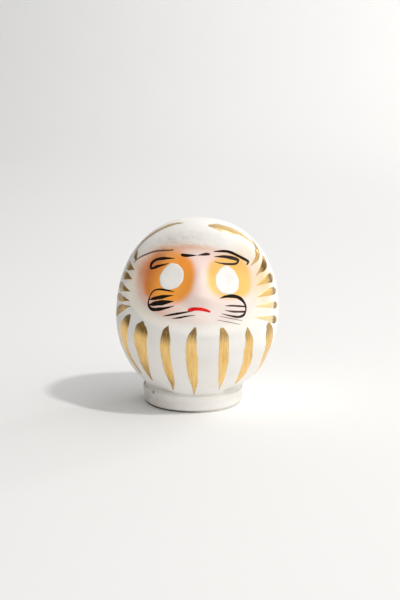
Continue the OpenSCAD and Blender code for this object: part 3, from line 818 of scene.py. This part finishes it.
def build_seam():
    path = [[180, el, 7] for el in (62, 40, 15, -10, -30, -46)]
    v, f, uv, _ = stroke_mesh(path, 0.3, 5, lanes=24)
    seam = make_object("back_seam_strip_paper", placed(v), f)
    add_uv(seam, uv)
    add_values(seam, "dirt_and_painted_shade", np.zeros(len(v)))
    seam.data.materials.append(white_ground("seam_white"))
    settle(seam, "back_seam_strip")


def revolve(name, profile, sides, shape=None):
    """A closed ring from a closed profile of (radius, height) in mm; shape may move its points."""
    a = np.linspace(0, 360, sides, endpoint=False)
    p = np.array(profile, float)
    az, k = np.meshgrid(a, np.arange(len(p)), indexing="ij")
    r, z = p[k, 0], p[k, 1]
    if shape:
        r, z = shape(az, r, z)
    verts = np.stack([r * sin(az), -r * cos(az), z], -1).reshape(-1, 3)
    faces = []
    n = len(p)
    for i in range(sides):
        here, there = i * n, (i + 1) % sides * n
        for j in range(n):
            k = (j + 1) % n
            faces.append((here + j, there + j, there + k, here + k))
    return verts, faces, az.ravel(), z.ravel()


def dense(profile, step):
    """A closed profile with points no further apart than step."""
    out = []
    for (r0, z0), (r1, z1) in zip(profile, profile[1:] + profile[:1]):
        count = max(1, int(math.hypot(r1 - r0, z1 - z0) / step))
        out += [(r0 + (r1 - r0) * k / count, z0 + (z1 - z0) * k / count) for k in range(count)]
    return out


def build_foot():
    outline = [
        (30.25, 0.53), (30.45, 0.53), (30.7, 0.8), (30.95, 1.4), (31.07, 2.1), (32.05, 10.2),
        (32.15, 10.7), (32.05, 11.0), (31.8, 11.13), (31.5, 11.05), (31.3, 10.7), (31.2, 9.9),
        (30.25, 0.9),
    ]

    def turned(az):
        """The same azimuth between -180 and 180."""
        return (az + 180) % 360 - 180

    def lip(az):
        """How far the lip rises on the left and sinks on the right, in mm."""
        return 0.35 * swell(turned(az), -40, 30) - 0.9 * swell(turned(az), 62, 26)

    def uneven(az, r, z):
        d = ray(az, z * 0.6)
        out = (r > 30.9) | (z > 9.5)
        bump = 0.1 * ripple(d, BROAD) + 0.05 * ripple(d, MIDDLE) - 0.08
        chip = swell(az, CHIP_AZ, 1.5) * swell(z, 10.7, 0.9) * 0.5
        wavy = 0.05 * ripple(d * [1, 1, 0], BROAD) - 0.12 + lip(az)
        return r + out * (bump - chip), z + out * wavy * ease(6, 11, z)

    v, f, az, z = revolve("band", dense(outline, 0.45), 420, uneven)
    band = make_object("base_band_paper", v * MM, f)
    add_uv(band, np.stack([az / 360 * 6, z / 12], -1))
    radius = np.hypot(v[:, 0], v[:, 1])
    bare = 1.6 * swell(az, CHIP_AZ, 1.3) * swell(z, 10.6, 0.7)
    add_values(band, "chip", np.clip(bare, 0, 1))
    # Painted shade: the foot's outer face darker on its left, away from the key light
    dim_side = ease(0, -50, turned(az)) * ease(-178, -125, turned(az))
    # Painted shadow along the bottom edge where the foot meets the floor, strongest on the left and front
    under = ease(35, -15, turned(az)) * ease(-178, -130, turned(az))
    add_values(band, "painted_contact_shadow", ease(2.3, 1.1, z) * (0.2 + 0.78 * under))
    painted_shade_outside = 0.38 * dim_side * (radius > 30.2)
    # Painted shade: the hollow behind the lip darker, and the foot darker towards the bottom where it
    # meets the floor
    painted_shade_behind_lip = 0.1 * (radius < 31.6) * ease(11.1, 10.4, z)
    add_values(band, "dirt_and_painted_shade", 0.2 * ease(3.0, 0.8, z) + painted_shade_outside + painted_shade_behind_lip)
    band.data.materials.append(white_ground("foot_white", brushed=True))
    settle(band, "base_band")

    ring = np.arange(0, 360, 1.2)
    low_rows = np.linspace(-40, -60, 80)
    front = turned(ring)
    bowl = placed(skin(*np.meshgrid(front, low_rows, indexing="ij"))) / MM
    across, height = np.hypot(bowl[..., 0], bowl[..., 1]), bowl[..., 2]
    # The bowl's columns sit at slightly other azimuths round the foot's own axis
    around = np.degrees(np.arctan2(bowl[..., 0], -bowl[..., 1])) % 360
    top_z = 12.1 + 0.7 * swell(front, -80, 50) - 0.8 * swell(front, 8, 34)
    edge_r = np.array([np.interp(-t, -h, r) for t, h, r in zip(top_z, height, across)])
    turn = around[:, len(low_rows) // 2]
    order = np.argsort(turn)
    # Here a profile is (u, down): u is 0 at the band and 1 at the body, and down is 1
    # along the hidden underside
    fillet = [(1.12, 1.0), (0.0, 1.0)] + [(u, 0.0) for u in (0.0, 0.03, 0.35, 0.7, 1.0, 1.12)]

    def filled(az, u, down):
        inner = np.interp(az, turn[order], edge_r[order], period=360)
        top = np.interp(az, turn[order], top_z[order], period=360)
        low_side = 10.5 + np.where(lip(az) < 0, 0.55, 1) * lip(az)
        low_side = low_side + 0.45 * swell(turned(az), 5, 30)
        rise = low_side + (top - low_side) * np.clip(u, 0, 1.1) ** 1.6
        d = ray(az, rise * 2)
        rise = rise + 0.1 * ripple(d, SMALL) * (u > 0.02) * (1 - swell(turned(az), 62, 30))
        return 31.2 + (inner - 31.2) * u, rise + (9.92 - rise) * down

    v, f, az, z = revolve("fillet", dense(fillet, 0.12), 300, filled)
    bed = make_object("glue_bed_chalk", v * MM, f)
    add_uv(bed, np.stack([az / 360 * 6, z / 12], -1))
    az = turned(az)
    # Painted shade: the ledge darker on the left under the body's overhang and in the shaded trough on
    # the right; a little dirt all round
    add_values(bed, "dirt_and_painted_shade", 0.04 + 0.22 * swell(az, -75, 38) + 0.16 * swell(az, 62, 22))
    bed.data.materials.append(white_ground("chalk_white"))
    settle(bed, "glue_bed")


def dress_kept_nodes():
    """The clay weight and the paper disc keep their CAD shape and get real materials."""
    for node, material in (("clay_weight", raw_clay()), ("base_paper_disc", plain_paper())):
        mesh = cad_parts[node].data
        mesh.materials.clear()
        mesh.materials.append(material)


# ---------------------------------------------------------------- stage, lights, camera


def build_stage():
    """A paper floor that curves up into a wall behind the doll."""
    rows = [(y, 0.0) for y in (-3.0, -1.5, -0.7, 0.0, 0.7, 1.4)]
    for k in range(1, 13):
        a = math.radians(90 * k / 12)
        rows.append((1.4 + 1.2 * math.sin(a), 1.2 * (1 - math.cos(a))))
    rows.append((2.6, 3.2))
    xs = np.linspace(-3, 3, 9)
    verts = [(x, y, z) for y, z in rows for x in xs]
    faces = grid_faces(len(rows), len(xs), closed=False)
    floor = make_object("studio_floor", verts, faces)
    m = Nodes("studio_paper")
    here = m.where()
    tooth = m.noise(here, 700, 3, 0.5)
    tone = m.noise(here, 1.3, 2, 0.5)
    x, y = m.sides(here)
    pale = m.mix(m.remap(tone, 0.35, 0.65), (0.885, 0.885, 0.885), (0.87, 0.875, 0.875))
    # Painted shade: the floor darker towards the left, where the key light falls off
    pale = m.mix(m.remap(x, 0.15, -0.65, smooth=True), pale, (0.75, 0.755, 0.755))
    # Painted shade: the floor grey farther than 0.4 m in front, standing in for the dark room that the
    # gold reflects
    m.set(
        Base_Color=m.mix(m.remap(y, -0.85, -0.4, smooth=True), (0.32, 0.32, 0.32), pale),
        Roughness=m.remap(tooth, 0.3, 0.7, 0.8, 0.9),
        Normal=m.bump(tooth, 0.08, 0.0002),
        Specular_IOR_Level=0.1,
    )
    floor.data.materials.append(m.mat)


KEY_WATTS, KEY_SIZE, KEY_DISTANCE = 9.7, 0.125, 1.6
KEY_FROM = (0.475, -0.238, 0.847)
BACKDROP_WATTS, BACKDROP_SIZE = 12.0, 0.7
LAMP_COLOUR, ROOM_COLOUR = (1.0, 0.985, 0.96), (1.0, 0.985, 0.965, 1)
LENS, CAMERA_RISE, CAMERA_DISTANCE = 85, 12.5, 0.901
CAMERA_AIM = (0.0044, 0, 0.0659)
# Soft light from all round: direction, the cosines between which it fades in, and strength
GLOW = [
    ((0, 0, 1), -1.0, -0.9, 0.24),
    ((0.6, -0.45, 0.65), 0.5, 1.0, 0.18),
    ((1, 0, 0.35), 0.2, 1.0, 0.78),
    ((0, -1, 0.3), 0.4, 1.0, 0.38),
    ((0.45, 0.6, 0.66), 0.4, 1.0, 0.35),
]


def build_lights():
    def soft_lamp(name, size, watts, place, aim):
        lamp = bpy.data.lights.new(name, "AREA")
        lamp.shape, lamp.size, lamp.energy = "DISK", size, watts
        lamp.color = LAMP_COLOUR
        obj = bpy.data.objects.new(name, lamp)
        bpy.context.scene.collection.objects.link(obj)
        obj.location = place
        obj.rotation_mode = "QUATERNION"
        obj.rotation_quaternion = (Vector(place) - Vector(aim)).to_track_quat("Z", "Y")

    middle = Vector((0, 0, 0.06))
    soft_lamp("key", KEY_SIZE, KEY_WATTS, middle + KEY_DISTANCE * Vector(KEY_FROM), middle)
    soft_lamp("backdrop_light", BACKDROP_SIZE, BACKDROP_WATTS, (1.5, 1.5, 1.0), (0.1, 2.1, 0.2))

    world = bpy.data.worlds.new("room")
    bpy.context.scene.world = world
    world.use_nodes = True
    tree = world.node_tree
    tree.nodes.clear()
    out = tree.nodes.new("ShaderNodeOutputWorld")
    back = tree.nodes.new("ShaderNodeBackground")
    tree.links.new(back.outputs[0], out.inputs[0])
    coord = tree.nodes.new("ShaderNodeTexCoord")
    total = None
    for direction, start, end, strength in GLOW:
        dot = tree.nodes.new("ShaderNodeVectorMath")
        dot.operation = "DOT_PRODUCT"
        tree.links.new(coord.outputs["Generated"], dot.inputs[0])
        dot.inputs[1].default_value = Vector(direction).normalized()
        fade = tree.nodes.new("ShaderNodeMapRange")
        fade.interpolation_type = "SMOOTHSTEP"
        tree.links.new(dot.outputs["Value"], fade.inputs["Value"])
        limits = {"From Min": start, "From Max": end, "To Min": 0.0, "To Max": strength}
        for name, v in limits.items():
            fade.inputs[name].default_value = v
        if total is None:
            total = fade.outputs[0]
        else:
            add = tree.nodes.new("ShaderNodeMath")
            tree.links.new(total, add.inputs[0])
            tree.links.new(fade.outputs[0], add.inputs[1])
            total = add.outputs[0]
    tree.links.new(total, back.inputs["Strength"])
    back.inputs["Color"].default_value = ROOM_COLOUR


def build_camera():
    data = bpy.data.cameras.new("camera")
    data.lens, data.sensor_width = LENS, 36
    data.clip_start, data.clip_end = 0.05, 30
    cam = bpy.data.objects.new("camera", data)
    bpy.context.scene.collection.objects.link(cam)
    el = math.radians(CAMERA_RISE)
    back = Vector((0, -math.cos(el), math.sin(el)))
    cam.location = Vector(CAMERA_AIM) + back * CAMERA_DISTANCE
    cam.rotation_mode = "QUATERNION"
    cam.rotation_quaternion = back.to_track_quat("Z", "Y")
    bpy.context.scene.camera = cam


blank = eye_paint()
build_body()
build_gold()
build_ink()
build_eye("eye_white_left", blank, -24.6, 37.4, 8, 9.3, 6, 3)
build_eye("eye_white_right", blank, 23.3, 37.3, 8.1, 9.8, -9, 4)
build_seam()
build_foot()
dress_kept_nodes()
build_stage()
build_lights()
build_camera()

scene = bpy.context.scene
scene.view_settings.view_transform = "Standard"
scene.view_settings.look = "None"
scene.view_settings.exposure = 0
scene.view_settings.gamma = 1
